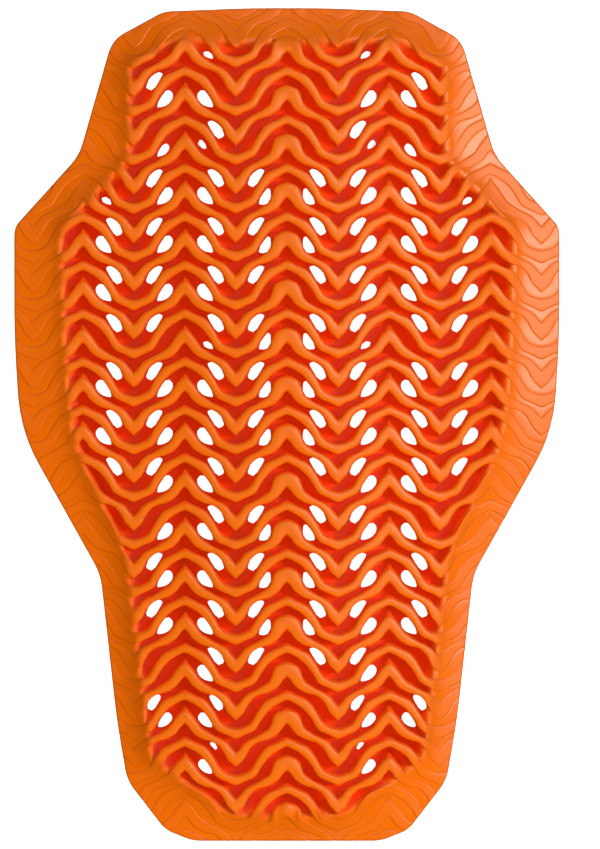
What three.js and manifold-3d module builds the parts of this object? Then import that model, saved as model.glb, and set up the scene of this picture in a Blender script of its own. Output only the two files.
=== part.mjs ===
// A back protector for sport: one soft moulding that lies on its hollow side, ribs up.
// Millimetres, +Z up. The origin is the middle of the outline, on the surface that the pad lies on.
// +Y points to the wearer's neck and +X to the right, seen from outside.
// The block has a tapered border. Zigzag channels are cut into it, so that ribs stand between them,
// and air holes go through the floor of the channels where two ribs spread apart.
import * as THREE from "three";
import { mergeVertices } from "three/addons/utils/BufferGeometryUtils.js";
import Module from "manifold-3d";

const wasm = await Module();
wasm.setup();

// Driving dimensions of the block
const LENGTH = 420;
const WIDTH = 275;
const EDGE_THICKNESS = 3;
const FLOOR_THICKNESS = 4;
const RIB_HEIGHT = 10;
const LEDGE_RISE = 1.2; // how far the border's flat outer ledge climbs towards its slope
const SHOULDER_DROP = 3; // how far the border's rounded shoulder lies under the rib tops
const HOLLOW_DEPTH = 8; // how far the middle of the underside stands off the surface
const HOLLOW_WIDTH = 184;
const HOLLOW_LENGTH = 400;

// Driving dimensions of the rib pattern
const PEAK_PITCH = 51.3; // across, from one zigzag peak to the next
const FIRST_ROW = 36.9; // from the neck end to row 0
const NECK_ROW_PITCH = 24.55; // along, one pair of ribs at row 0
const PITCH_LOSS = 0.074; // each pair of ribs takes this much less length than the one before
const CHANNEL_END_DRAFT = 1.5; // how far a channel's end leans outwards from floor to rib top
const FIRST_PAIR = -2; // numbers of the first and last pair of ribs that reach the ribbed field
const LAST_PAIR = 15;

// Modelling values
const CORNER_STEPS = 3; // straight pieces in each rounded corner of an outline
const LONGEST_STEP = 24; // straight outline edges are split into pieces no longer than this
const CUT_MARGIN = 6; // how far a cutting tool reaches past what it cuts
const HOLLOW_CELLS = [12, 20]; // facets across and along the hollow

// Corners of the outline and of the ribbed field inside it, on the +X side from neck to tail.
// x is a share of half the width, y a share of the length from the neck end,
// radius the corner's rounding as a share of half the width. Each row is one corner of both rings.
const CORNERS = [
  { name: "neck", x: 0.411, y: 0.0, radius: 0.06, fieldX: 0.39, fieldY: 0.045 },
  { name: "neck side", x: 0.638, y: 0.036, radius: 0.08, fieldX: 0.57, fieldY: 0.088 },
  { name: "above shoulder", x: 0.757, y: 0.18, radius: 0.07, fieldX: 0.572, fieldY: 0.184 },
  { name: "shoulder", x: 1.0, y: 0.264, radius: 0.06, fieldX: 0.804, fieldY: 0.27 },
  { name: "flank", x: 1.0, y: 0.396, radius: 0.3, fieldX: 0.8, fieldY: 0.404 },
  { name: "lower flank", x: 0.978, y: 0.508, radius: 0.14, fieldX: 0.78, fieldY: 0.52 },
  { name: "waist", x: 0.681, y: 0.68, radius: 0.05, fieldX: 0.565, fieldY: 0.632 },
  { name: "hip", x: 0.59, y: 0.932, radius: 0.09, fieldX: 0.49, fieldY: 0.915 },
  { name: "tail side", x: 0.432, y: 0.989, radius: 0.06, fieldX: 0.21, fieldY: 0.964 },
  { name: "tail", x: 0.33, y: 1.0, radius: 0.03, fieldX: 0.11, fieldY: 0.967 },
];

// Edges of one pair of ribs along half a zigzag, from a peak (along 0) to a valley (along 1).
// Each value is a share of the row pitch, counted towards the tail from the pair's own row line.
// The pointed rib comes first, and beside the spine its upper edge is fuller.
const RIB_EDGES = [
  { along: 0, spine: 0.11, pointedUpper: 0.127, pointedLower: 0.404, roundUpper: 0.731, roundLower: 0.906 },
  { along: 0.33, spine: 0.39, pointedUpper: 0.448, pointedLower: 0.72, roundUpper: 0.877, roundLower: 1.12 },
  { along: 0.67, spine: 0.714, pointedUpper: 0.714, pointedLower: 0.896, roundUpper: 1.31, roundLower: 1.57 },
  { along: 1, spine: 1.029, pointedUpper: 1.029, pointedLower: 1.333, roundUpper: 1.533, roundLower: 1.727 },
];

// Outline of an air hole in its channel: along as above, across from the upper rib (0) to the lower (1).
const HOLE_UNDER_POINTED = [
  { along: 0.47, across: 0.3 },
  { along: 0.56, across: 0.08 },
  { along: 0.7, across: 0.05 },
  { along: 0.785, across: 0.16 },
  { along: 0.67, across: 0.68 },
  { along: 0.54, across: 0.88 },
];
const HOLE_UNDER_ROUND = HOLE_UNDER_POINTED.map((corner) => ({
  along: 1.02 - corner.along,
  across: 1 - corner.across,
}));

// Which zigzag slopes are open, counted from the spine outwards and the same on both sides.
// The first chart is for the channel under each pointed rib, the second for the one under each round rib.
const OPEN_UNDER_POINTED = {
  1: "OOO.", 2: "OOOO", 3: "OOOO", 4: "OOOO", 5: "OOOO", 6: "OOOO", 7: "OOOO",
  8: "OO..", 9: "OOO.", 10: "OOO.", 11: "OO..",
};
const OPEN_UNDER_ROUND = {
  1: ".OO.", 2: ".OOO", 3: ".OOO", 5: ".OOO", 6: ".OOO", 7: ".OO.",
  8: ".OO.", 9: ".OO.", 10: ".OO.", 11: ".O..",
};

const TOP = FLOOR_THICKNESS + RIB_HEIGHT;

// A smooth bump: 1 in the middle, 0 and level at the ends.
function bump(share, power) {
  const rest = 1 - Math.min(1, Math.abs(share)) ** power;
  return rest * rest;
}

// Height of the hollow underside over the surface that the pad lies on.
function arch(x, y) {
  return HOLLOW_DEPTH * bump(x / (HOLLOW_WIDTH / 2), 2) * bump(y / (HOLLOW_LENGTH / 2), 4);
}

// Place along the pad of a row line; fractions of a row lie between two of them.
function rowLine(row) {
  const pitch = NECK_ROW_PITCH + PITCH_LOSS / 2;
  return LENGTH / 2 - FIRST_ROW - pitch * row + (PITCH_LOSS / 2) * row * row;
}

// A number from the table of rib edges, between its rows where needed.
function edgeShare(column, along) {
  const after = Math.max(1, RIB_EDGES.findIndex((row) => row.along >= along));
  const [low, high] = [RIB_EDGES[after - 1], RIB_EDGES[after]];
  const part = (along - low.along) / (high.along - low.along);
  return low[column] + (high[column] - low[column]) * part;
}

// A geometry as a solid for the joins and cuts.
function solid(geometry) {
  geometry.deleteAttribute("normal");
  geometry.deleteAttribute("uv");
  const merged = mergeVertices(geometry);
  return new wasm.Manifold(
    new wasm.Mesh({
      numProp: 3,
      vertProperties: merged.attributes.position.array,
      triVerts: new Uint32Array(merged.index.array),
    }),
  );
}

function geometryOf(body) {
  const { vertProperties, triVerts, numProp } = body.getMesh();
  return new THREE.BufferGeometry()
    .setAttribute("position", new THREE.BufferAttribute(vertProperties, numProp))
    .setIndex(new THREE.BufferAttribute(triVerts, 1));
}

// The same geometry with every vertex raised by the arch.
function arched(geometry) {
  const position = geometry.attributes.position;
  for (let i = 0; i < position.count; i += 1) {
    position.setZ(i, position.getZ(i) + arch(position.getX(i), position.getY(i)));
  }
  return geometry;
}

// A closed ring of points from a list of corners of the +X side, mirrored to the -X side.
function ring(corners) {
  const side = [...corners].reverse();
  const mirrored = corners.map((c) => ({ ...c, x: -c.x }));
  const loop = [...side, ...mirrored];
  const points = [];
  loop.forEach((corner, i) => {
    const here = new THREE.Vector2(corner.x, corner.y);
    const before = loop[(i + loop.length - 1) % loop.length];
    const after = loop[(i + 1) % loop.length];
    const back = new THREE.Vector2(before.x, before.y).sub(here);
    const ahead = new THREE.Vector2(after.x, after.y).sub(here);
    const cut = Math.min(corner.radius, back.length() * 0.4, ahead.length() * 0.4);
    const start = here.clone().addScaledVector(back.normalize(), cut);
    const end = here.clone().addScaledVector(ahead.clone().normalize(), cut);
    const bend = new THREE.QuadraticBezierCurve(start, here, end);
    points.push(...bend.getPoints(CORNER_STEPS));
  });
  return points;
}

function outlineCorners() {
  return CORNERS.map((c) => ({
    x: (c.x * WIDTH) / 2,
    y: LENGTH * (0.5 - c.y),
    radius: (c.radius * WIDTH) / 2,
  }));
}

function fieldCorners() {
  return CORNERS.map((c) => ({
    x: (c.fieldX * WIDTH) / 2,
    y: LENGTH * (0.5 - c.fieldY),
    radius: (c.radius * WIDTH) / 2,
  }));
}

// Two rings with as many points: each straight edge is split where either ring's edge is long.
function matchedRings(first, second) {
  const [a, b] = [[], []];
  first.forEach((point, i) => {
    const next = (i + 1) % first.length;
    const reach = Math.max(point.distanceTo(first[next]), second[i].distanceTo(second[next]));
    const steps = Math.max(1, Math.ceil(reach / LONGEST_STEP));
    for (let step = 0; step < steps; step += 1) {
      a.push(point.clone().lerp(first[next], step / steps));
      b.push(second[i].clone().lerp(second[next], step / steps));
    }
  });
  return [a, b];
}

// A closed skin over rings of points, each ring with its own height, capped at both ends.
function loft(levels) {
  const count = levels[0].points.length;
  const vertices = levels.flatMap((l) => l.points.flatMap((p) => [p.x, p.y, l.z]));
  const index = [];
  for (let level = 0; level + 1 < levels.length; level += 1) {
    for (let i = 0; i < count; i += 1) {
      const [a, b] = [level * count + i, level * count + ((i + 1) % count)];
      index.push(a, b, b + count, a, b + count, a + count);
    }
  }
  const last = (levels.length - 1) * count;
  for (const [a, b, c] of THREE.ShapeUtils.triangulateShape(levels[0].points, [])) {
    index.push(a, c, b);
  }
  for (const [a, b, c] of THREE.ShapeUtils.triangulateShape(levels.at(-1).points, [])) {
    index.push(last + a, last + b, last + c);
  }
  return new THREE.BufferGeometry()
    .setAttribute("position", new THREE.Float32BufferAttribute(vertices, 3))
    .setIndex(index);
}

// The pad laid flat and not yet hollow: a thin edge, a ledge, the border's slope and its shoulder.
function blank() {
  const [outline, field] = matchedRings(ring(outlineCorners()), ring(fieldCorners()));
  const at = (share) => outline.map((p, i) => p.clone().lerp(field[i], share));
  return solid(
    loft([
      { points: at(0), z: -CUT_MARGIN },
      { points: at(0), z: EDGE_THICKNESS },
      { points: at(0.32), z: EDGE_THICKNESS + LEDGE_RISE },
      { points: at(0.78), z: TOP - SHOULDER_DROP },
      { points: at(0.95), z: TOP },
    ]),
  );
}

// The space in which channels may be cut.
function field() {
  const full = ring(fieldCorners());
  const drafted = full.map((p) => p.clone().setLength(p.length() - CHANNEL_END_DRAFT));
  const [upper, lower] = matchedRings(full, drafted);
  return solid(
    loft([
      { points: lower, z: FLOOR_THICKNESS },
      { points: upper, z: TOP + CUT_MARGIN },
    ]),
  );
}

// Points of one rib edge from the -X side to the +X side.
function ribEdge(column, pair) {
  const half = PEAK_PITCH / 2;
  const slopes = Math.ceil(WIDTH / 2 / half);
  const points = [];
  for (let slope = -slopes; slope < slopes; slope += 1) {
    const fromPeak = slope % 2 === 0;
    const stations = fromPeak ? RIB_EDGES : [...RIB_EDGES].reverse();
    stations.slice(0, -1).forEach(({ along }) => {
      const x = half * (slope + (fromPeak ? along : 1 - along));
      points.push(new THREE.Vector2(x, rowLine(pair + edgeAt(column, slope, along))));
    });
  }
  const end = slopes % 2 === 0 ? 0 : 1;
  points.push(new THREE.Vector2(half * slopes, rowLine(pair + edgeShare(column, end))));
  return points;
}

// The pointed rib is fuller on the two slopes beside the spine.
function edgeAt(column, slope, along) {
  const besideSpine = slope === 0 || slope === -1;
  return edgeShare(besideSpine && column === "pointedUpper" ? "spine" : column, along);
}

function prism(outline, low, high) {
  const shape = new THREE.Shape(outline);
  const geometry = new THREE.ExtrudeGeometry(shape, { depth: high - low, bevelEnabled: false });
  return solid(geometry.translate(0, 0, low));
}

// The channel between two rib edges, as deep as the ribs are high.
function channel(upperEdge, lowerEdge) {
  const outline = [...upperEdge, ...lowerEdge.reverse()];
  return prism(outline, FLOOR_THICKNESS, TOP + CUT_MARGIN);
}

function channels() {
  const cuts = [];
  for (let pair = FIRST_PAIR; pair <= LAST_PAIR; pair += 1) {
    cuts.push(channel(ribEdge("pointedLower", pair), ribEdge("roundUpper", pair)));
    cuts.push(channel(ribEdge("roundLower", pair - 1), ribEdge("pointedUpper", pair)));
  }
  return wasm.Manifold.union(cuts).intersect(field());
}

// One air hole on a slope, on the +X side when side is 1 and on the -X side when it is -1.
function hole(corners, upper, lower, slope, side) {
  const half = PEAK_PITCH / 2;
  const outline = corners.map(({ along, across }) => {
    const x = half * (slope + (slope % 2 === 0 ? along : 1 - along));
    const above = upper.pair + edgeShare(upper.column, along);
    const below = lower.pair + edgeShare(lower.column, along);
    return new THREE.Vector2(side * x, rowLine(above + (below - above) * across));
  });
  return prism(outline, -CUT_MARGIN, FLOOR_THICKNESS + CUT_MARGIN / 2);
}

function holes() {
  const cuts = [];
  const cutRow = (chart, corners, upper, lower) => {
    [...chart].forEach((mark, slope) => {
      if (mark !== "O") return;
      cuts.push(hole(corners, upper, lower, slope, 1));
      cuts.push(hole(corners, upper, lower, slope, -1));
    });
  };
  for (const [row, chart] of Object.entries(OPEN_UNDER_POINTED)) {
    const pair = Number(row);
    const upper = { column: "pointedLower", pair };
    cutRow(chart, HOLE_UNDER_POINTED, upper, { column: "roundUpper", pair });
  }
  for (const [row, chart] of Object.entries(OPEN_UNDER_ROUND)) {
    const pair = Number(row);
    const upper = { column: "roundLower", pair };
    cutRow(chart, HOLE_UNDER_ROUND, upper, { column: "pointedUpper", pair: pair + 1 });
  }
  return wasm.Manifold.union(cuts);
}

// What the underside leaves free, from far below up to the arch.
function hollow() {
  const [cellsAcross, cellsAlong] = HOLLOW_CELLS;
  const size = [WIDTH + CUT_MARGIN, LENGTH + CUT_MARGIN, 4 * CUT_MARGIN];
  const geometry = new THREE.BoxGeometry(...size, cellsAcross, cellsAlong, 1);
  const position = geometry.attributes.position;
  const spread = (value, size, hollowSize, cells) => {
    const step = Math.round((value / size) * cells);
    if (Math.abs(step) === cells / 2) return Math.sign(step) * (size / 2);
    return (step * hollowSize) / (cells - 2);
  };
  for (let i = 0; i < position.count; i += 1) {
    const x = spread(position.getX(i), size[0], HOLLOW_WIDTH, cellsAcross);
    const y = spread(position.getY(i), size[1], HOLLOW_LENGTH, cellsAlong);
    const upper = position.getZ(i) > 0;
    position.setXYZ(i, x, y, upper ? arch(x, y) : -4 * CUT_MARGIN);
  }
  return solid(geometry);
}

function pad() {
  const flat = blank().subtract(channels()).subtract(holes());
  const body = solid(arched(geometryOf(flat))).subtract(hollow());
  const geometry = geometryOf(body);
  geometry.computeVertexNormals();
  const material = new THREE.MeshStandardMaterial({ color: 0xf06a12, roughness: 0.45, metalness: 0 });
  const mesh = new THREE.Mesh(geometry, material);
  mesh.name = "pad";
  return mesh;
}

const protector = new THREE.Group();
protector.add(pad());

export default protector;
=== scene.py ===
"""A back protector for sport: one soft moulding that lies on its hollow side, ribs up.

The mesh is worked out in millimetres in the frame of the CAD model and turned into metres at the end.
It is a net whose lines follow the edges of the zigzag ribs. The net is cut along the outline and
round each air hole, and the same net, turned over, makes the underside.
"""
import math

import bpy
import numpy as np
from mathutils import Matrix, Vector


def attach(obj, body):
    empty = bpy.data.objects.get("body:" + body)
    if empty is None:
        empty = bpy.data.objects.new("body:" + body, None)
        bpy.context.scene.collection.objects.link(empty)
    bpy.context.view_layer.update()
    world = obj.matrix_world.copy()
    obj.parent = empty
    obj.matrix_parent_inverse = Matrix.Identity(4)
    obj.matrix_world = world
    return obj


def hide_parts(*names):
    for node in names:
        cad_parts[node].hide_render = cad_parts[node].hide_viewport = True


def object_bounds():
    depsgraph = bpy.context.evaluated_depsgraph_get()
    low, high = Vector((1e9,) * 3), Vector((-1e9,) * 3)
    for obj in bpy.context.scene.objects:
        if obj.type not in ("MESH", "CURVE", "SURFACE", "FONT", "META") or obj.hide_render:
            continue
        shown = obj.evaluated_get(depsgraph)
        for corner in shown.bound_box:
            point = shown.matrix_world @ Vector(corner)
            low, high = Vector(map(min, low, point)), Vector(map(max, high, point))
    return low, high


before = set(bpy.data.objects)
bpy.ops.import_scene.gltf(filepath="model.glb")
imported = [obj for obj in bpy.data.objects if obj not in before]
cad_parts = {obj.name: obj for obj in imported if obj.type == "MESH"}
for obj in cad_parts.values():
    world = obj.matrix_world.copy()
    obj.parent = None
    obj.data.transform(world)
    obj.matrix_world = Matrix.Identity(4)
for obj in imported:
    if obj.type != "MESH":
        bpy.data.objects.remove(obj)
cad_low, cad_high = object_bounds()

MM_IN_METRE = 1000

# Block, as wide and as long as the CAD model
WIDTH = round(MM_IN_METRE * (cad_high[0] - cad_low[0]), 2)
LENGTH = round(MM_IN_METRE * (cad_high[1] - cad_low[1]), 2)
EDGE_THICKNESS = 3.0
FLOOR_THICKNESS = 4.0
RIB_HEIGHT = 10.0
TOP = FLOOR_THICKNESS + RIB_HEIGHT
EDGE_ROUNDING = 0.9
RIM_TURNS = (45, 90, -90, -45)  # degrees at the points of the rounded rim, from its top, then to its foot
HOLLOW_DEPTH = 8.0
HOLLOW_WIDTH = 184.0
HOLLOW_LENGTH = 400.0
HOLLOW_POWER_ACROSS, HOLLOW_POWER_ALONG = 2, 4  # the higher, the further the hollow keeps its depth

# Rib pattern
PEAK_PITCH = 51.3
SLOPE = PEAK_PITCH / 2  # across, from a zigzag peak to the valley beside it
FIRST_ROW = 36.9  # from the neck end to the row line of pair 0
NECK_ROW_PITCH = 24.55
PITCH_LOSS = 0.074  # how much shorter each row pitch is than the one before
FIRST_PAIR, LAST_PAIR = -3, 15  # the net's pairs of ribs, from beyond the neck end to beyond the tail end
WALL_DRAFT_UPPER = 1.2  # how far a rib's foot stands out from its top edge, on its neck side
WALL_DRAFT_SLOPE = 0.4  # the same halfway between a peak and a valley
WALL_DRAFT_LOWER = 0.25  # the same on its tail side
NOSE_LENGTH = 2.4  # how much further the foot of a pointed rib stands out at its peak
NOSE_WIDTH = 0.13  # share of the slope over which that ends
RIB_ROUNDING = 0.8
BORDER_RELIEF = 0.3  # height of the ribs where they run out over the border
GROOVE = 0.15  # depth of the fine groove beside each rib on the border
GROOVE_WIDTH = 0.55
RAMP_LENGTH = 5.5  # over which a channel climbs onto the border
RAMP_OVERHANG = 1.5  # how much of that lies outside the field
END_RAMP_LENGTH = 9.0  # the same two at the neck and tail ends of the field
END_RAMP_OVERHANG = 3.3
END_RAMP_FROM, END_RAMP_FULL = 165.0, 188.0  # from the pad's middle to where they begin and are full

# Corners of the outline and of the ribbed field on the +X side, from neck to tail:
# x in half widths, y in lengths from the neck end, rounding in half widths, then the field's x and y.
CORNERS = [
    (0.13, 0.0, 0.06, 0.12, 0.045),
    (0.452, 0.004, 0.03, 0.4, 0.041),
    (0.641, 0.038, 0.05, 0.573, 0.067),
    (0.762, 0.1765, 0.045, 0.572, 0.183),
    (1.0, 0.263, 0.025, 0.822, 0.266),
    (1.0, 0.396, 0.3, 0.806, 0.404),
    (0.978, 0.508, 0.14, 0.78, 0.52),
    (0.684, 0.68, 0.05, 0.585, 0.655),
    (0.624, 0.855, 0.2, 0.516, 0.84),
    (0.586, 0.9275, 0.04, 0.495, 0.897),
    (0.446, 0.9868, 0.03, 0.21, 0.964),
    (0.345, 1.0, 0.03, 0.11, 0.967),
]
CORNER_STEPS = 8
CORNER_SHARE = 0.4  # the most that a rounding takes of the sides beside it

# Height of the border over its width: share of the way from the outline to the field, millimetres.
BORDER_PROFILE = [(0, EDGE_THICKNESS), (0.38, 5.5), (0.8, 9.8), (0.9, 11.9), (0.985, 13.8), (1, TOP)]

# Rib edges over half a zigzag: share of the way from a peak to a valley, share of the row pitch
# counted towards the tail from the row line. The upper edge is the one on the neck side.
VALLEY_UPPER = [(0.42, 0.58), (0.55, 0.668), (0.75, 0.775), (0.85, 0.857), (0.94, 0.99), (1, 1.05)]
POINTED_UPPER = [(0, 0.13), (0.08, 0.185), (0.16, 0.275), (0.24, 0.4), (0.32, 0.51), *VALLEY_UPPER]
SPINE_UPPER = [
    (0, 0.12), (0.1, 0.145), (0.2, 0.195), (0.25, 0.25), (0.29, 0.4), (0.34, 0.52), *VALLEY_UPPER,
]
POINTED_LOWER = [
    (0, 0.405), (0.06, 0.46), (0.1, 0.532), (0.15, 0.597), (0.24, 0.675), (0.39, 0.757), (0.53, 0.795),
    (0.63, 0.845), (0.7, 0.92), (0.75, 0.99), (0.79, 1.075), (0.815, 1.155), (0.86, 1.2), (0.92, 1.262),
    (1, 1.34),
]
ROUND_UPPER = [
    (0, 0.74), (0.16, 0.81), (0.32, 0.882), (0.41, 0.93), (0.5, 1.045), (0.59, 1.19), (0.64, 1.295),
    (0.7, 1.405), (0.79, 1.472), (1, 1.54),
]
ROUND_LOWER = [
    (0, 0.9), (0.1, 0.945), (0.25, 1.037), (0.35, 1.13), (0.5, 1.335), (0.6, 1.525), (0.67, 1.58),
    (0.85, 1.663), (1, 1.738),
]

# Side of a rib from its wall up to its flat top: how far outside the edge, height as a share of the rib
RIB_SIDE = [(0.12, 0.85), (-0.3, 0.965), (-RIB_ROUNDING, 1.0)]

# Lines of the net over one rib: which edge it follows, how far outside it, height as a share of the rib
RIB_LINES = [
    ("upper", WALL_DRAFT_SLOPE + GROOVE_WIDTH, 0.0),
    ("upper", WALL_DRAFT_SLOPE, 0.0),
    *(("upper", outside, level) for outside, level in RIB_SIDE),
    *(("lower", outside, level) for outside, level in reversed(RIB_SIDE)),
    ("lower", WALL_DRAFT_LOWER, 0.0),
    ("lower", WALL_DRAFT_LOWER + GROOVE_WIDTH, 0.0),
]
FEET = (1, len(RIB_LINES) - 2)  # which of them run along the feet of the rib

# The net's other lines, as shares of the way across a channel, and its columns, from a peak to a valley
CHANNEL_LINES = [0.25, 0.5, 0.75]
NET_STATIONS = [0, 0.07, 0.14, 0.2, 0.26, 0.32, 0.38, 0.45, 0.52, 0.59, 0.66, 0.72, 0.78, 0.84, 0.92, 1]
NET_SNAP = 0.02  # a point of the net this close to a cut counts as this far inside it
UNDER_RIB = -5.0  # clearance given to points that lie in no channel
LEAST_WIDTH = 1e-6  # stands in for a width of zero

# Air holes: one mark for each slope outwards from the spine, the same on both sides.
HOLES_UNDER_POINTED = {
    -1: "..F.", 0: ".F..", 1: "FFF.", 2: "FFFF", 3: "FFFF", 4: "FFFF", 5: "FFFF", 6: "FFFF",
    7: "FFFF", 8: "FF..", 9: "FFF.", 10: "FFF.", 11: "FF..", 12: ".ss.", 13: ".t..",
}
HOLES_UNDER_ROUND = {
    -2: ".l..", -1: ".FF.", 0: ".um.", 1: "FFFl", 2: "FFFF", 3: ".FFF", 4: "Fl..", 5: "FFFF",
    6: "FFFF", 7: ".FF.", 8: "FFF.", 9: "FFF.", 10: "FFF.", 11: ".F..", 12: ".ss.", 13: ".s..",
}
NO_HOLE = "."
# What a mark means: share of the full width and of the full length, shift towards the tail in millimetres.
HOLE_MARKS = {
    "F": (1.0, 1.0, 0.0), "s": (0.86, 0.92, 0.0), "m": (0.78, 0.78, 1.2), "l": (0.8, 0.5, 2.2),
    "u": (0.6, 0.6, -1.6), "t": (0.6, 0.5, -1.6),
}
SHIFT_ACROSS = 0.8  # how far a shifted hole goes towards the valley for each millimetre towards the tail

# Corners of a full hole: share of the way from peak to valley, rows from the pair's row line.
POINTED_HOLE = [
    (0.43, 0.86), (0.46, 0.8), (0.56, 0.8), (0.72, 0.92), (0.8, 1.04), (0.785, 1.14), (0.635, 1.21),
]
ROUND_HOLE = [
    (0.205, 1.31), (0.3, 1.17), (0.38, 1.17), (0.575, 1.475), (0.56, 1.55), (0.4, 1.53), (0.29, 1.455),
]
SPINE_HOLE = [(0.295, 1.58), (0.325, 1.2), (0.38, 1.19), (0.57, 1.48), (0.555, 1.565), (0.42, 1.57)]
HOLE_SHARPNESS = 2.2  # the higher, the smaller the rounding of its corners
HOLE_REACH = 12.0  # from its middle, further than any hole goes
RIB_CLEARANCE = 0.1  # least distance between a hole and the wall of a rib

# What the material reads at each point of the mesh, each from 0 to 1, then what it reads on the underside
# and on the rounded rim, which takes the painted shade of the grooves
LOOKS = ("painted_channel_shade", "groove_and_painted_shade", "shine")
UNDERSIDE_LOOK = [0.0, 0.0, 0.0]
RIM_PAINTED_SHADE_LOOK = [0.0, 1.0, 0.0]

# Colours of the rubber on the ribs and the border, then painted shade: redder deep in a channel, and
# darker in the border's fine grooves
RIB_COLOUR = (0.94, 0.162, 0.0005, 1)
CHANNEL_SHADE_COLOUR = (0.9, 0.066, 0.0, 1)
GROOVE_SHADE_COLOUR = (0.75, 0.13, 0.001, 1)
CHANNEL_SHADE_POWER = 0.9  # under 1, the walls of a channel take its painted shade soon below their top

# Shine, from 0 for dull to 1 for glossy: on the ribs, and lost within this distance of the field's edge
RIB_SHINE = 0.66
DULL_EDGE = 1.5
DULL_ROUGHNESS, GLOSSY_ROUGHNESS = 0.85, 0.3
SPECULAR_LEVEL = 0.35

# Sockets of a Mix node that mixes colours
MIX_SHARE, MIX_FIRST, MIX_SECOND, MIX_RESULT = 0, 6, 7, 2

# Clouds in the colour and grain in the surface: how many to a metre, and in how many finer steps
CLOUD_SCALE, CLOUD_DETAIL = 30.0, 3.0
CLOUD_DARKEST, CLOUD_LIGHTEST = 0.95, 1.04
GRAIN_SCALE, GRAIN_DETAIL = 900.0, 2.0
GRAIN_STRENGTH = 0.12
GRAIN_HEIGHT = 0.0002  # in metres

# Stage, in metres: a pale table that glows by itself, under a faint world
WHITE = (1, 1, 1, 1)
FLOOR_REACH = 4.0
FLOOR_COLOUR = (0.8, 0.8, 0.8, 1)
FLOOR_ROUGHNESS = 0.9
FLOOR_SPECULAR_LEVEL = 0.1
FLOOR_GLOW = 0.95
WORLD_GLOW = 0.02

# Lights: place, size, watts, and whether the rubber shows their sheen alone or their brightness alone.
LIGHTS = [
    ("sheen_right", (1.2, 0.53, 1.51), (1.4, 1.1), 54.0, "sheen"),
    ("key_right", (1.2, 0.0, 1.1), (0.25, 0.35), 12.3, "brightness"),
    ("overhead", (0.1, 0.0, 3.0), (0.35, 0.35), 19.0, "brightness"),
    ("fill_neck", (0.0, 1.25, 1.1), (0.35, 0.2), 7.8, "brightness"),
    ("fill_tail", (0.1, -1.4, 0.9), (0.35, 0.2), 11.8, "brightness"),
    ("fill_left", (-1.3, 0.0, 0.2), (0.2, 0.35), 3.0, "brightness"),
]
LIGHTS_AIM = (0, 0, 0)

# Camera, in metres: straight above, a long lens; the photograph is 600 by 849 pixels
PHOTO_HEIGHT = 849
PAD_LENGTH_IN_PHOTO = 832
PAD_LEFT_OF_MIDDLE = 13.1  # pixels from the frame's middle to the pad's
PIXEL = PAD_LENGTH_IN_PHOTO / LENGTH  # pixels for each millimetre on the outline
CAMERA_HEIGHT = 2.5
CAMERA_OFFSET = PAD_LEFT_OF_MIDDLE / PIXEL / MM_IN_METRE
CLIP_END = 20.0
SENSOR_WIDTH = 36.0  # in millimetres


def bump(share, power):
    """1 in the middle and level there, 0 and level at a share of 1."""
    return (1 - np.minimum(1, np.abs(share)) ** power) ** 2


def smoothstep(share):
    """From 0 to 1, level at both ends."""
    s = np.clip(share, 0, 1)
    return s * s * (3 - 2 * s)


def arch(x, y):
    """Height of the hollow underside over the floor."""
    across = bump(x / (HOLLOW_WIDTH / 2), HOLLOW_POWER_ACROSS)
    return HOLLOW_DEPTH * across * bump(y / (HOLLOW_LENGTH / 2), HOLLOW_POWER_ALONG)


def row_line(row):
    """The Y of a row line. Rows are counted towards the tail and may be fractions."""
    pitch = NECK_ROW_PITCH + PITCH_LOSS / 2
    return LENGTH / 2 - FIRST_ROW - pitch * row + (PITCH_LOSS / 2) * row * row


def curve(points, at, level_ends=False):
    """A smooth curve through points, in cubic pieces that never overshoot, and its slope."""
    px, py = np.array(points, float).T
    step, rise = np.diff(px), np.diff(py)
    secant = rise / step
    slope = np.empty(len(px))
    flat = secant[:-1] * secant[1:] <= 0
    mean = 2 * secant[:-1] * secant[1:] / np.where(flat, 1, secant[:-1] + secant[1:])
    slope[1:-1] = np.where(flat, 0, mean)
    slope[0], slope[-1] = (0, 0) if level_ends else (secant[0], secant[-1])
    i = np.clip(np.searchsorted(px, at, side="right") - 1, 0, len(step) - 1)
    h = step[i]
    s = (at - px[i]) / h
    value = (
        py[i] * (1 + 2 * s) * (1 - s) ** 2
        + slope[i] * h * s * (1 - s) ** 2
        + py[i + 1] * s * s * (3 - 2 * s)
        + slope[i + 1] * h * s * s * (s - 1)
    )
    rate = (
        6 * s * (1 - s) * secant[i]
        + slope[i] * (1 - s) * (1 - 3 * s)
        + slope[i + 1] * s * (3 * s - 2)
    )
    return value, rate


def corner(x, y, rounding):
    """A corner of the +X side in millimetres, from shares of the half width and of the length."""
    return x * WIDTH / 2, LENGTH * (0.5 - y), rounding * WIDTH / 2


def ring(side):
    """A closed ring of points through the rounded corners of the +X side and their mirror images."""
    loop = side[::-1] + [(-x, y, radius) for x, y, radius in side]
    points = []
    for i, (x, y, radius) in enumerate(loop):
        here = np.array([x, y])
        back = np.array(loop[i - 1][:2]) - here
        ahead = np.array(loop[(i + 1) % len(loop)][:2]) - here
        reach = min(radius, CORNER_SHARE * np.hypot(*back), CORNER_SHARE * np.hypot(*ahead))
        start = here + back / np.hypot(*back) * reach
        end = here + ahead / np.hypot(*ahead) * reach
        for s in np.linspace(0, 1, CORNER_STEPS + 1):
            points.append((1 - s) ** 2 * start + 2 * s * (1 - s) * here + s * s * end)
    return np.array(points)


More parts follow.
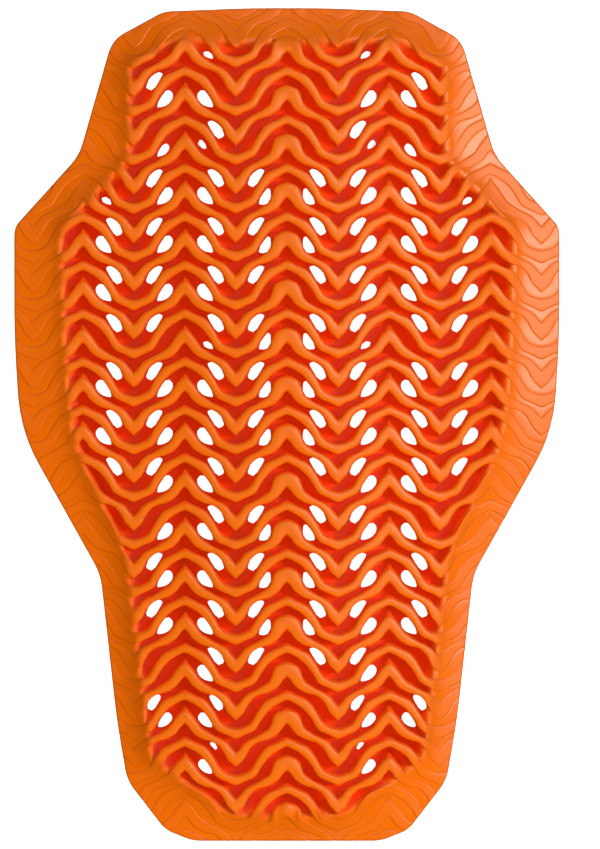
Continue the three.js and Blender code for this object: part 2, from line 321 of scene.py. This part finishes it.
def signed_distance(points, loop):
    """Distance from each point to a closed ring, negative inside it, and the nearest point on it."""
    best = np.full(len(points), np.inf)
    nearest = np.zeros((len(points), 2))
    inside = np.zeros(len(points), bool)
    for start, end in zip(loop, np.roll(loop, -1, axis=0)):
        edge = end - start
        to = points - start
        t = np.clip((to @ edge) / (edge @ edge), 0, 1)
        foot = start + t[:, None] * edge
        d = np.hypot(*(points - foot).T)
        closer = d < best
        best[closer], nearest[closer] = d[closer], foot[closer]
        if start[1] != end[1]:
            spans = (start[1] > points[:, 1]) != (end[1] > points[:, 1])
            cross = start[0] + edge[0] * (points[:, 1] - start[1]) / edge[1]
            inside ^= spans & (points[:, 0] < cross)
    return np.where(inside, -best, best), nearest


def from_spine(slope, t):
    """Distance from the spine of a place on a zigzag slope; t goes from the slope's peak to its valley."""
    return SLOPE * (slope + (t if slope % 2 == 0 else 1 - t))


def net_columns():
    """Places of the net's lines across the pad, closer together where the holes are."""
    slopes = math.ceil(WIDTH / 2 / SLOPE)
    places = [from_spine(slope, t) for slope in range(slopes) for t in NET_STATIONS]
    places.append(SLOPE * slopes)
    right = np.unique(np.round(places, 6))
    return np.concatenate([-right[:0:-1], right])


def along(x):
    """Share of the way from the nearest zigzag peak to its valley."""
    return 1 - np.abs(1 - np.mod(np.abs(x) / SLOPE, 2))


def net():
    """The net's points by column and line, each line's height as a share of a rib, lines at the feet."""
    x = net_columns()
    t = along(x)
    beside_spine = np.abs(x) < SLOPE
    pointed_upper = [
        np.where(beside_spine, spine, other)
        for spine, other in zip(curve(SPINE_UPPER, t), curve(POINTED_UPPER, t))
    ]
    shapes = {
        "pointed": (pointed_upper, curve(POINTED_LOWER, t)),
        "round": (curve(ROUND_UPPER, t, True), curve(ROUND_LOWER, t, True)),
    }
    nose = np.where(beside_spine, 0, NOSE_LENGTH * np.maximum(0, 1 - t / NOSE_WIDTH) ** 2)
    spread = (WALL_DRAFT_UPPER - WALL_DRAFT_SLOPE) * (2 * t - 1) ** 2
    lines, levels, feet = [], [], []
    for pair in range(FIRST_PAIR, LAST_PAIR + 1):
        pitch = row_line(pair) - row_line(pair + 1)
        for shape, ((upper, upper_rate), (lower, lower_rate)) in shapes.items():
            edges = {
                "upper": (row_line(pair + upper), np.hypot(1, upper_rate * pitch / SLOPE)),
                "lower": (row_line(pair + lower), -np.hypot(1, lower_rate * pitch / SLOPE)),
            }
            rib = []
            for edge, outside, level in RIB_LINES:
                y, lean = edges[edge]
                y = y + outside * lean
                if edge == "upper" and level == 0:
                    y = y + spread + (nose if shape == "pointed" else 0)
                rib.append(y)
            if lines:
                before = lines[-1]
                for share in CHANNEL_LINES:
                    lines.append(before + (rib[0] - before) * share)
                    levels.append(0.0)
            feet.extend(len(lines) + foot for foot in FEET)
            lines.extend(rib)
            levels.extend(level for _, _, level in RIB_LINES)
    y = np.array(lines).T
    points = np.stack([np.broadcast_to(x[:, None], y.shape), y], axis=-1)
    return points, np.array(levels), feet


def hole_outlines():
    """Corners of every air hole."""
    for chart, shape in ((HOLES_UNDER_POINTED, POINTED_HOLE), (HOLES_UNDER_ROUND, ROUND_HOLE)):
        for pair, marks in chart.items():
            for slope, mark in enumerate(marks):
                if mark == NO_HOLE:
                    continue
                wide, long, shift = HOLE_MARKS[mark]
                beside_spine = slope == 0 and shape is ROUND_HOLE
                t, rows = np.array(SPINE_HOLE if beside_spine else shape).T
                toward_valley = 1 if slope % 2 == 0 else -1
                x = from_spine(slope, t) + toward_valley * shift * SHIFT_ACROSS
                y = row_line(pair + rows) - shift
                corners = np.column_stack([x, y])
                middle = corners.mean(axis=0)
                corners = middle + (corners - middle) * (wide, long)
                yield corners
                yield corners * (-1, 1)


def hole_field(points, clearance):
    """About how deep each point lies in a hole, in millimetres; positive inside one."""
    deepest = np.full(len(points), -np.inf)
    for corners in hole_outlines():
        middle = corners.mean(axis=0)
        near = np.abs(points - middle).max(axis=1) < HOLE_REACH
        crowding = np.zeros(near.sum())
        for start, end in zip(corners, np.roll(corners, -1, axis=0)):
            side = (end - start) / np.hypot(*(end - start))
            inward = np.array([-side[1], side[0]])
            inward *= np.sign((middle - start) @ inward)
            crowding += np.exp(-HOLE_SHARPNESS * ((points[near] - start) @ inward))
        depth = -np.log(crowding) / HOLE_SHARPNESS
        deepest[near] = np.maximum(deepest[near], depth)
    return np.minimum(deepest, clearance - RIB_CLEARANCE)


def channel_clearance(points, feet):
    """How far each net point lies from the feet of the ribs, across its channel."""
    y = points[..., 1]
    clearance = np.full(y.shape, UNDER_RIB)
    for upper, lower in zip(feet[1::2], feet[2::2]):
        top, bottom = y[:, upper], y[:, lower]
        slant = np.gradient((top + bottom) / 2, points[:, 0, 0])
        lean = np.hypot(1, slant)[:, None]
        rows = slice(upper, lower + 1)
        from_top = (top[:, None] - y[:, rows]) / lean
        from_bottom = (y[:, rows] - bottom[:, None]) / lean
        clearance[:, rows] = np.minimum(from_top, from_bottom)
    return clearance


def channel_ramp(points, to_field):
    """How far a channel has gone down at each point: 0 on the border, 1 where it has its full depth."""
    end = smoothstep((np.abs(points[:, 1]) - END_RAMP_FROM) / (END_RAMP_FULL - END_RAMP_FROM))
    length = RAMP_LENGTH + (END_RAMP_LENGTH - RAMP_LENGTH) * end
    overhang = RAMP_OVERHANG + (END_RAMP_OVERHANG - RAMP_OVERHANG) * end
    climb = np.clip((overhang - to_field) / length, 0, 1)
    return (climb + smoothstep(climb)) / 2


def pad_heights(points, levels, feet, to_outline, to_field):
    """Upper and lower height of each net point, and what the material reads there."""
    to_outside = np.maximum(0, -to_outline)
    to_inside = np.maximum(0, to_field)
    share = to_outside / np.maximum(LEAST_WIDTH, to_outside + to_inside)
    blank = curve(BORDER_PROFILE, share)[0]
    ramp = channel_ramp(points, to_field)
    depth = BORDER_RELIEF + (blank - FLOOR_THICKNESS - BORDER_RELIEF) * ramp
    columns = len(points) // len(levels)
    down = 1 - np.tile(levels, columns)
    at_foot = np.zeros(len(levels))
    at_foot[feet] = 1
    # where the border's fine grooves are cut, and where their painted shade goes
    groove_and_painted_shade = np.tile(at_foot, columns) * (1 - ramp)
    lift = arch(points[:, 0], points[:, 1])
    recessed = down * (1 - ramp)
    shine = RIB_SHINE * (1 - down * ramp) + (1 - RIB_SHINE) * recessed
    shine *= (1 - groove_and_painted_shade) * (1 - np.exp(-((to_field / DULL_EDGE) ** 2)))
    # painted shade: redder deep in the channels, darker in the border's grooves
    looks = np.column_stack([down ** CHANNEL_SHADE_POWER * ramp, groove_and_painted_shade, shine])
    return blank + lift - down * depth - GROOVE * groove_and_painted_shade, lift, looks


class Net:
    """The net cut along the outline and round the holes: pairs of an upper and a lower point."""

    def __init__(self):
        outline = ring([corner(x, y, rounding) for x, y, rounding, _, _ in CORNERS])
        field = ring([corner(x, y, rounding) for _, _, rounding, x, y in CORNERS])
        points, levels, self.feet = net()
        self.columns, self.rows = points.shape[:2]
        self.flat = points.reshape(-1, 2)
        self.to_outline, self.nearest = signed_distance(self.flat, outline)
        to_field, _ = signed_distance(self.flat, field)
        heights = pad_heights(self.flat, levels, self.feet, self.to_outline, to_field)
        self.top, self.bottom, self.looks = heights
        clearance = channel_clearance(points, self.feet).reshape(-1)
        outside = np.maximum(self.to_outline + EDGE_ROUNDING, hole_field(self.flat, clearance))
        self.outside = np.where(np.abs(outside) < NET_SNAP, -NET_SNAP, outside)
        self.used = self.outside < 0
        kept = zip(self.flat[self.used], self.top[self.used], self.bottom[self.used])
        self.pairs = [(x, y, top, bottom) for (x, y), top, bottom in kept]
        self.pair_looks = self.looks[self.used].tolist()
        self.index = np.full(len(self.flat), -1)
        self.index[self.used] = np.arange(len(self.pairs))
        self.crossings = {}
        self.on_outline = {}
        self.upper_faces, self.lower_faces, self.rim = [], [], []
        self.cut()

    def crossing(self, a, b):
        """The pair of points where the edge from a to b is cut."""
        a, b = min(a, b), max(a, b)
        if (a, b) in self.crossings:
            return self.crossings[a, b]
        share = self.outside[a] / (self.outside[a] - self.outside[b])

        def between(values):
            return values[a] + (values[b] - values[a]) * share

        made = len(self.pairs)
        self.pairs.append((*between(self.flat), between(self.top), between(self.bottom)))
        self.pair_looks.append(between(self.looks).tolist())
        if max(self.to_outline[a], self.to_outline[b]) > -EDGE_ROUNDING:
            self.on_outline[made] = between(self.nearest)
        self.crossings[a, b] = made
        return made

    def cut_cell(self, cell):
        """What is left of a cell that a cut runs through; the cut itself goes on the rim."""
        polygon, gates = [], []
        for k, a in enumerate(cell):
            b = cell[(k + 1) % len(cell)]
            if self.used[a]:
                polygon.append(self.index[a])
            if self.used[a] != self.used[b]:
                gates.append((self.crossing(a, b), self.used[a]))
                polygon.append(gates[-1][0])
        for k, (vertex, leaving) in enumerate(gates):
            if leaving:
                self.rim.append((vertex, gates[(k + 1) % len(gates)][0]))
        return polygon

    def cut(self):
        """Collects the faces of both sides, with one large face under each rib where no cut runs."""
        place = np.arange(len(self.flat)).reshape(self.columns, self.rows)
        used = self.used.reshape(self.columns, self.rows)
        ribs = list(zip(self.feet[0::2], self.feet[1::2]))
        for i in range(self.columns - 1):
            for j in range(self.rows - 1):
                cell = place[i, j], place[i, j + 1], place[i + 1, j + 1], place[i + 1, j]
                kept = self.used[list(cell)]
                if not kept.any():
                    continue
                polygon = self.index[list(cell)].tolist() if kept.all() else self.cut_cell(cell)
                self.upper_faces.append(polygon)
                if not self.under_rib(used, ribs, i, j):
                    self.lower_faces.append(polygon)
            for a, b in ribs:
                if used[i:i + 2, a:b + 1].all():
                    self.lower_faces.append(self.face_under_rib(place, used, i, a, b))

    @staticmethod
    def under_rib(used, ribs, i, j):
        """Whether one large face under the whole width of a rib stands for this cell."""
        return any(a <= j < b and used[i:i + 2, a:b + 1].all() for a, b in ribs)

    def face_under_rib(self, place, used, i, a, b):
        """That large face, with the points on its sides that its neighbours need."""
        left = place[i, a:b + 1].tolist()
        right = place[i + 1, a:b + 1].tolist()
        if i > 0 and used[i - 1, a:b + 1].all():
            left = [left[0], left[-1]]
        if i + 2 < self.columns and used[i + 2, a:b + 1].all():
            right = [right[0], right[-1]]
        return self.index[left + right[::-1]].tolist()


def rim_stack(net, pair, vertices, looks):
    """Vertices down the side of the pad, from the top of the rim to its foot; straight in a hole."""
    count = len(net.pairs)
    if pair not in net.on_outline:
        return [pair, pair + count]
    x, y, top, bottom = net.pairs[pair]
    toward = net.on_outline[pair] - (x, y)
    toward = toward / (np.hypot(*toward) or 1)
    column = [pair]
    for turn in RIM_TURNS:
        out = toward * abs(math.sin(math.radians(turn))) * EDGE_ROUNDING
        drop = (1 - math.cos(math.radians(turn))) * EDGE_ROUNDING
        column.append(len(vertices))
        vertices.append((x + out[0], y + out[1], top - drop if turn > 0 else bottom + drop))
        # the rounded rim takes the painted shade of the grooves
        looks.append(RIM_PAINTED_SHADE_LOOK)
    return column + [pair + count]


def pad_mesh(vertices, polygons, sharp, looks):
    """The mesh in metres, without unused vertices, smooth but for the edges named sharp."""
    kept = sorted({v for polygon in polygons for v in polygon})
    place = {v: k for k, v in enumerate(kept)}
    sharp = {frozenset(place[v] for v in edge) for edge in sharp}
    mesh = bpy.data.meshes.new("pad_skin")
    mesh.from_pydata(
        [tuple(c / MM_IN_METRE for c in vertices[v]) for v in kept],
        [],
        [[place[v] for v in polygon] for polygon in polygons],
    )
    mesh.polygons.foreach_set("use_smooth", [True] * len(mesh.polygons))
    marks = [frozenset(edge.vertices) in sharp for edge in mesh.edges]
    mesh.attributes.new("sharp_edge", "BOOLEAN", "EDGE").data.foreach_set("value", marks)
    for name, values in zip(LOOKS, np.array(looks)[kept].T):
        layer = mesh.attributes.new(name, "FLOAT", "POINT")
        layer.data.foreach_set("value", np.clip(values, 0, 1).astype(np.float32))
    mesh.validate()
    return mesh


def build_pad():
    """The whole moulding: both sides of the net, joined by its rims."""
    net = Net()
    count = len(net.pairs)
    vertices = [(x, y, top) for x, y, top, _ in net.pairs] + [(x, y, low) for x, y, _, low in net.pairs]
    looks = net.pair_looks + [UNDERSIDE_LOOK] * count
    polygons = net.upper_faces + [[v + count for v in face[::-1]] for face in net.lower_faces]
    stacks = {}
    for pair in {pair for edge in net.rim for pair in edge}:
        stacks[pair] = rim_stack(net, pair, vertices, looks)
    sharp = set()
    for a, b in net.rim:
        left, right = stacks[a], stacks[b]
        for k in range(len(left) - 1):
            polygons.append([left[k + 1], right[k + 1], right[k], left[k]])
        if len(left) == 2:
            sharp.update({frozenset((a, b)), frozenset((a + count, b + count))})
    pad = bpy.data.objects.new("pad_skin", pad_mesh(vertices, polygons, sharp, looks))
    bpy.context.scene.collection.objects.link(pad)
    return pad


def node(tree, kind, **settings):
    """A new shader node, with its inputs and properties set by name."""
    made = tree.nodes.new(kind)
    for name, value in settings.items():
        if name in made.inputs:
            made.inputs[name].default_value = value
        else:
            setattr(made, name, value)
    return made


def moulded_rubber():
    """Orange rubber with painted shade, redder in the channels and darker in the grooves and on the rim,
    with faint clouds and grain.
    """
    material = bpy.data.materials.new("moulded_rubber")
    material.use_nodes = True
    tree = material.node_tree
    link = tree.links.new
    shader = tree.nodes["Principled BSDF"]
    shader.inputs["Specular IOR Level"].default_value = SPECULAR_LEVEL

    place = node(tree, "ShaderNodeTexCoord")
    depth, groove_and_painted_shade, shine = (node(tree, "ShaderNodeAttribute", attribute_name=name) for name in LOOKS)
    cloud = node(tree, "ShaderNodeTexNoise", Scale=CLOUD_SCALE, Detail=CLOUD_DETAIL)
    link(place.outputs["Object"], cloud.inputs["Vector"])

    # painted shade: redder deep in the channels, then darker in the grooves and on the rim
    colour = node(tree, "ShaderNodeMix", data_type="RGBA")
    colour.inputs[MIX_FIRST].default_value = RIB_COLOUR
    colour.inputs[MIX_SECOND].default_value = CHANNEL_SHADE_COLOUR
    link(depth.outputs["Fac"], colour.inputs[MIX_SHARE])
    # painted shade in the border's grooves and on the rim
    lined = node(tree, "ShaderNodeMix", data_type="RGBA")
    lined.inputs[MIX_SECOND].default_value = GROOVE_SHADE_COLOUR
    link(colour.outputs[MIX_RESULT], lined.inputs[MIX_FIRST])
    link(groove_and_painted_shade.outputs["Fac"], lined.inputs[MIX_SHARE])

    vary = node(tree, "ShaderNodeHueSaturation")
    spread = node(tree, "ShaderNodeMapRange")
    spread.inputs["To Min"].default_value = CLOUD_DARKEST
    spread.inputs["To Max"].default_value = CLOUD_LIGHTEST
    link(cloud.outputs["Fac"], spread.inputs["Value"])
    link(spread.outputs["Result"], vary.inputs["Value"])
    link(lined.outputs[MIX_RESULT], vary.inputs["Color"])
    link(vary.outputs["Color"], shader.inputs["Base Color"])

    polish = node(tree, "ShaderNodeMapRange")
    polish.inputs["To Min"].default_value = DULL_ROUGHNESS
    polish.inputs["To Max"].default_value = GLOSSY_ROUGHNESS
    link(shine.outputs["Fac"], polish.inputs["Value"])
    link(polish.outputs["Result"], shader.inputs["Roughness"])

    grain = node(tree, "ShaderNodeTexNoise", Scale=GRAIN_SCALE, Detail=GRAIN_DETAIL)
    link(place.outputs["Object"], grain.inputs["Vector"])
    bumps = node(tree, "ShaderNodeBump", Strength=GRAIN_STRENGTH, Distance=GRAIN_HEIGHT)
    link(grain.outputs["Fac"], bumps.inputs["Height"])
    link(bumps.outputs["Normal"], shader.inputs["Normal"])
    return material


def lit_table():
    """A pale, dull material that glows."""
    material = bpy.data.materials.new("lit_table")
    material.use_nodes = True
    shader = material.node_tree.nodes["Principled BSDF"]
    shader.inputs["Base Color"].default_value = FLOOR_COLOUR
    shader.inputs["Roughness"].default_value = FLOOR_ROUGHNESS
    shader.inputs["Specular IOR Level"].default_value = FLOOR_SPECULAR_LEVEL
    shader.inputs["Emission Color"].default_value = WHITE
    shader.inputs["Emission Strength"].default_value = FLOOR_GLOW
    return material


def area_light(name, place, size, power, shows):
    """A soft light that shows the rubber's sheen alone, or its brightness alone."""
    data = bpy.data.lights.new(name, "AREA")
    data.shape = "RECTANGLE"
    data.size, data.size_y = size
    data.energy = power
    light = bpy.data.objects.new(name, data)
    light.visible_glossy = shows == "sheen"
    light.visible_diffuse = shows == "brightness"
    light.location = place
    light.rotation_mode = "QUATERNION"
    light.rotation_quaternion = (Vector(LIGHTS_AIM) - Vector(place)).to_track_quat("-Z", "Y")
    bpy.context.scene.collection.objects.link(light)


def build_stage():
    """The floor, whose glow the pad doesn't take up, the lights and the world."""
    mesh = bpy.data.meshes.new("floor")
    corners = [(-FLOOR_REACH, -FLOOR_REACH, 0), (FLOOR_REACH, -FLOOR_REACH, 0)]
    corners += [(FLOOR_REACH, FLOOR_REACH, 0), (-FLOOR_REACH, FLOOR_REACH, 0)]
    mesh.from_pydata(corners, [], [(0, 1, 2, 3)])
    floor = bpy.data.objects.new("floor", mesh)
    bpy.context.scene.collection.objects.link(floor)
    mesh.materials.append(lit_table())
    floor.visible_glossy = False
    floor.visible_diffuse = False

    for light in LIGHTS:
        area_light(*light)

    world = bpy.data.worlds.new("studio")
    world.use_nodes = True
    background = world.node_tree.nodes["Background"]
    background.inputs["Color"].default_value = WHITE
    background.inputs["Strength"].default_value = WORLD_GLOW
    bpy.context.scene.world = world
    bpy.context.scene.view_settings.view_transform = "Standard"


def build_camera():
    """The photograph's view, at the photograph's scale."""
    data = bpy.data.cameras.new("camera")
    data.sensor_width = SENSOR_WIDTH
    data.lens = SENSOR_WIDTH * CAMERA_HEIGHT / (PHOTO_HEIGHT / PIXEL / MM_IN_METRE)
    data.clip_end = CLIP_END
    camera = bpy.data.objects.new("camera", data)
    camera.location = (CAMERA_OFFSET, 0, CAMERA_HEIGHT)
    bpy.context.scene.collection.objects.link(camera)
    bpy.context.scene.camera = camera


pad = build_pad()
pad.data.materials.append(moulded_rubber())
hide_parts("pad")
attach(pad, "root")

build_stage()
build_camera()
